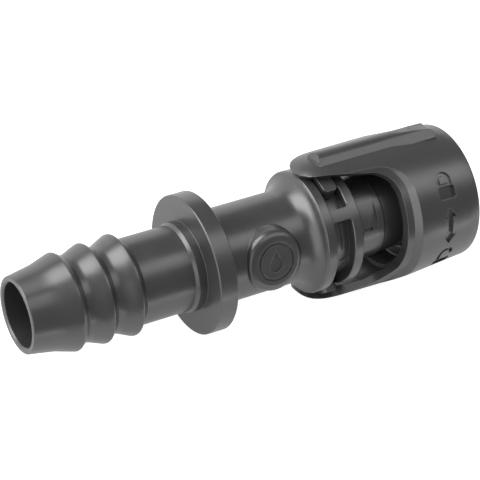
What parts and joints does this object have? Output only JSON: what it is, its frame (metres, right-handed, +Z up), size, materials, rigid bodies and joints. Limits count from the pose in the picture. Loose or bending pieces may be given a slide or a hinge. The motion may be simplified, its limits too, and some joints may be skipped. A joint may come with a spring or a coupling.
{
  "type": "drip line connector",
  "caption": "Straight plastic connector for drip line: a barbed tail, a stop disc and a spigot with a quarter-turn lock sleeve.",
  "frame": {"origin": "on the waterway's axis, at the tail side of the stop disc", "axes": "+X along the waterway from the barbed tail to the mouth of the lock sleeve, +Z up as the connector lies on a table, on the sleeve's wall and the stop disc"},
  "size_m": [0.0708, 0.0218, 0.0218],
  "materials": {
    "body_plastic": "satin moulded dark grey",
    "sleeve_plastic": "satin moulded dark grey"
  },
  "bodies": {
    "body": {"barbed_body": "body_plastic"},
    "sleeve": {"lock_sleeve": "sleeve_plastic"}
  },
  "joints": [
    {"name": "lock_turn", "type": "hinge", "parent": "body", "child": "sleeve", "pos_m": [0, 0, 0], "axis": [1, 0, 0], "range_deg": [-87, 15]}
  ]
}
